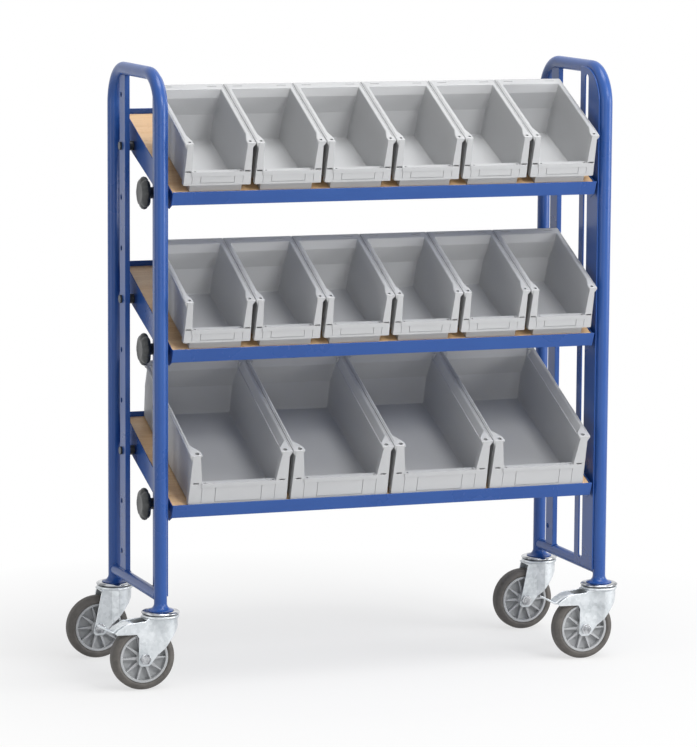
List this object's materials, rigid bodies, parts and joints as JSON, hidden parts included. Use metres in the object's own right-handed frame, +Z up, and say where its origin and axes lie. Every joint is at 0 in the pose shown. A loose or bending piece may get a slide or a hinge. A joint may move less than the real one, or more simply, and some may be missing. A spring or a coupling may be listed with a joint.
{
  "type": "assembly trolley",
  "caption": "Blue tube-frame assembly trolley on swivel casters, with tilted adjustable shelves that hold rows of grey open-front storage bins.",
  "frame": {"origin": "on the floor, below the middle of the overall box; the tube frame's middle is 44.5 mm to the right, because the left brake pedal reaches out", "axes": "+X to the right seen from the front, +Y to the back, +Z up"},
  "size_m": [1.079, 0.382, 1.188],
  "materials": {
    "blue_paint": "gloss powder coat",
    "beech": "clear lacquer",
    "black_steel": "satin black",
    "black_plastic": "fine grain",
    "bin_plastic": "moulded satin",
    "zinc": "zinc plated",
    "rim_plastic": "moulded",
    "tyre_rubber": "matt"
  },
  "bodies": {
    "frame": {"left_hoop": "blue_paint", "right_hoop": "blue_paint", "cross_tubes": "blue_paint", "rear_rails": "blue_paint", "front_plates": "blue_paint", "bottom_pins": "black_steel", "middle_pins": "black_steel", "top_pins": "black_steel", "front_left_head": "zinc", "front_right_head": "zinc", "rear_left_head": "zinc", "rear_right_head": "zinc"},
    "bottom_shelf": {"bottom_tray": "blue_paint", "bottom_board": "beech"},
    "bottom_left_knob": {"bottom_left_knob": "black_plastic"},
    "bottom_right_knob": {"bottom_right_knob": "black_plastic"},
    "middle_shelf": {"middle_tray": "blue_paint", "middle_board": "beech"},
    "middle_left_knob": {"middle_left_knob": "black_plastic"},
    "middle_right_knob": {"middle_right_knob": "black_plastic"},
    "top_shelf": {"top_tray": "blue_paint", "top_board": "beech"},
    "top_left_knob": {"top_left_knob": "black_plastic"},
    "top_right_knob": {"top_right_knob": "black_plastic"},
    "bottom_bin_1": {"bottom_bin_1": "bin_plastic"},
    "bottom_bin_2": {"bottom_bin_2": "bin_plastic"},
    "bottom_bin_3": {"bottom_bin_3": "bin_plastic"},
    "bottom_bin_4": {"bottom_bin_4": "bin_plastic"},
    "middle_bin_1": {"middle_bin_1": "bin_plastic"},
    "middle_bin_2": {"middle_bin_2": "bin_plastic"},
    "middle_bin_3": {"middle_bin_3": "bin_plastic"},
    "middle_bin_4": {"middle_bin_4": "bin_plastic"},
    "middle_bin_5": {"middle_bin_5": "bin_plastic"},
    "middle_bin_6": {"middle_bin_6": "bin_plastic"},
    "top_bin_1": {"top_bin_1": "bin_plastic"},
    "top_bin_2": {"top_bin_2": "bin_plastic"},
    "top_bin_3": {"top_bin_3": "bin_plastic"},
    "top_bin_4": {"top_bin_4": "bin_plastic"},
    "top_bin_5": {"top_bin_5": "bin_plastic"},
    "top_bin_6": {"top_bin_6": "bin_plastic"},
    "front_left_fork": {"front_left_fork": "zinc", "front_left_axle": "zinc"},
    "front_left_wheel": {"front_left_rim": "rim_plastic", "front_left_tyre": "tyre_rubber"},
    "front_right_fork": {"front_right_fork": "zinc", "front_right_axle": "zinc"},
    "front_right_wheel": {"front_right_rim": "rim_plastic", "front_right_tyre": "tyre_rubber"},
    "rear_left_fork": {"rear_left_fork": "zinc", "rear_left_axle": "zinc"},
    "rear_left_wheel": {"rear_left_rim": "rim_plastic", "rear_left_tyre": "tyre_rubber"},
    "rear_right_fork": {"rear_right_fork": "zinc", "rear_right_axle": "zinc"},
    "rear_right_wheel": {"rear_right_rim": "rim_plastic", "rear_right_tyre": "tyre_rubber"},
    "front_left_pedal": {"front_left_pedal": "zinc"},
    "front_right_pedal": {"front_right_pedal": "zinc"}
  },
  "joints": [
    {"name": "bottom_shelf_tilt", "type": "hinge", "parent": "frame", "child": "bottom_shelf", "pos_m": [0.0445, 0.094, 0.424], "axis": [1, 0, 0], "range_deg": [-3, 3]},
    {"name": "bottom_left_knob_turn", "type": "hinge", "parent": "bottom_shelf", "child": "bottom_left_knob", "pos_m": [-0.4135, -0.0925, 0.34836], "axis": [-1, 0, 0], "range_deg": [0, 360]},
    {"name": "bottom_right_knob_turn", "type": "hinge", "parent": "bottom_shelf", "child": "bottom_right_knob", "pos_m": [0.5025, -0.0925, 0.34836], "axis": [1, 0, 0], "range_deg": [0, 360]},
    {"name": "middle_shelf_tilt", "type": "hinge", "parent": "frame", "child": "middle_shelf", "pos_m": [0.0445, 0.094, 0.724], "axis": [1, 0, 0], "range_deg": [-3, 3]},
    {"name": "middle_left_knob_turn", "type": "hinge", "parent": "middle_shelf", "child": "middle_left_knob", "pos_m": [-0.4135, -0.0925, 0.64836], "axis": [-1, 0, 0], "range_deg": [0, 360]},
    {"name": "middle_right_knob_turn", "type": "hinge", "parent": "middle_shelf", "child": "middle_right_knob", "pos_m": [0.5025, -0.0925, 0.64836], "axis": [1, 0, 0], "range_deg": [0, 360]},
    {"name": "top_shelf_tilt", "type": "hinge", "parent": "frame", "child": "top_shelf", "pos_m": [0.0445, 0.094, 1.024], "axis": [1, 0, 0], "range_deg": [-3, 3]},
    {"name": "top_left_knob_turn", "type": "hinge", "parent": "top_shelf", "child": "top_left_knob", "pos_m": [-0.4135, -0.0925, 0.94836], "axis": [-1, 0, 0], "range_deg": [0, 360]},
    {"name": "top_right_knob_turn", "type": "hinge", "parent": "top_shelf", "child": "top_right_knob", "pos_m": [0.5025, -0.0925, 0.94836], "axis": [1, 0, 0], "range_deg": [0, 360]},
    {"name": "bottom_bin_1_lift", "type": "slide", "parent": "bottom_shelf", "child": "bottom_bin_1", "axis": [0, -0.3987, 0.9171], "range_m": [0, 0.06]},
    {"name": "bottom_bin_2_lift", "type": "slide", "parent": "bottom_shelf", "child": "bottom_bin_2", "axis": [0, -0.3987, 0.9171], "range_m": [0, 0.06]},
    {"name": "bottom_bin_3_lift", "type": "slide", "parent": "bottom_shelf", "child": "bottom_bin_3", "axis": [0, -0.3987, 0.9171], "range_m": [0, 0.06]},
    {"name": "bottom_bin_4_lift", "type": "slide", "parent": "bottom_shelf", "child": "bottom_bin_4", "axis": [0, -0.3987, 0.9171], "range_m": [0, 0.06]},
    {"name": "middle_bin_1_lift", "type": "slide", "parent": "middle_shelf", "child": "middle_bin_1", "axis": [0, -0.3987, 0.9171], "range_m": [0, 0.06]},
    {"name": "middle_bin_2_lift", "type": "slide", "parent": "middle_shelf", "child": "middle_bin_2", "axis": [0, -0.3987, 0.9171], "range_m": [0, 0.06]},
    {"name": "middle_bin_3_lift", "type": "slide", "parent": "middle_shelf", "child": "middle_bin_3", "axis": [0, -0.3987, 0.9171], "range_m": [0, 0.06]},
    {"name": "middle_bin_4_lift", "type": "slide", "parent": "middle_shelf", "child": "middle_bin_4", "axis": [0, -0.3987, 0.9171], "range_m": [0, 0.06]},
    {"name": "middle_bin_5_lift", "type": "slide", "parent": "middle_shelf", "child": "middle_bin_5", "axis": [0, -0.3987, 0.9171], "range_m": [0, 0.06]},
    {"name": "middle_bin_6_lift", "type": "slide", "parent": "middle_shelf", "child": "middle_bin_6", "axis": [0, -0.3987, 0.9171], "range_m": [0, 0.06]},
    {"name": "top_bin_1_lift", "type": "slide", "parent": "top_shelf", "child": "top_bin_1", "axis": [0, -0.3987, 0.9171], "range_m": [0, 0.06]},
    {"name": "top_bin_2_lift", "type": "slide", "parent": "top_shelf", "child": "top_bin_2", "axis": [0, -0.3987, 0.9171], "range_m": [0, 0.06]},
    {"name": "top_bin_3_lift", "type": "slide", "parent": "top_shelf", "child": "top_bin_3", "axis": [0, -0.3987, 0.9171], "range_m": [0, 0.06]},
    {"name": "top_bin_4_lift", "type": "slide", "parent": "top_shelf", "child": "top_bin_4", "axis": [0, -0.3987, 0.9171], "range_m": [0, 0.06]},
    {"name": "top_bin_5_lift", "type": "slide", "parent": "top_shelf", "child": "top_bin_5", "axis": [0, -0.3987, 0.9171], "range_m": [0, 0.06]},
    {"name": "top_bin_6_lift", "type": "slide", "parent": "top_shelf", "child": "top_bin_6", "axis": [0, -0.3987, 0.9171], "range_m": [0, 0.06]},
    {"name": "front_left_swivel", "type": "hinge", "parent": "frame", "child": "front_left_fork", "pos_m": [-0.4135, -0.154, 0.1355], "axis": [0, 0, 1], "continuous": true},
    {"name": "front_left_roll", "type": "hinge", "parent": "front_left_fork", "child": "front_left_wheel", "pos_m": [-0.4505, -0.154, 0.0625], "axis": [0, 1, 0], "continuous": true},
    {"name": "front_right_swivel", "type": "hinge", "parent": "frame", "child": "front_right_fork", "pos_m": [0.5025, -0.154, 0.1355], "axis": [0, 0, 1], "continuous": true},
    {"name": "front_right_roll", "type": "hinge", "parent": "front_right_fork", "child": "front_right_wheel", "pos_m": [0.4655, -0.154, 0.0625], "axis": [0, 1, 0], "continuous": true},
    {"name": "rear_left_swivel", "type": "hinge", "parent": "frame", "child": "rear_left_fork", "pos_m": [-0.4135, 0.154, 0.1355], "axis": [0, 0, 1], "continuous": true},
    {"name": "rear_left_roll", "type": "hinge", "parent": "rear_left_fork", "child": "rear_left_wheel", "pos_m": [-0.4505, 0.154, 0.0625], "axis": [0, 1, 0], "continuous": true},
    {"name": "rear_right_swivel", "type": "hinge", "parent": "frame", "child": "rear_right_fork", "pos_m": [0.5025, 0.154, 0.1355], "axis": [0, 0, 1], "continuous": true},
    {"name": "rear_right_roll", "type": "hinge", "parent": "rear_right_fork", "child": "rear_right_wheel", "pos_m": [0.4655, 0.154, 0.0625], "axis": [0, 1, 0], "continuous": true},
    {"name": "front_left_pedal_press", "type": "hinge", "parent": "front_left_fork", "child": "front_left_pedal", "pos_m": [-0.4795, -0.154, 0.1275], "axis": [0, -1, 0], "range_deg": [0, 14]},
    {"name": "front_right_pedal_press", "type": "hinge", "parent": "front_right_fork", "child": "front_right_pedal", "pos_m": [0.4365, -0.154, 0.1275], "axis": [0, -1, 0], "range_deg": [0, 14]}
  ]
}
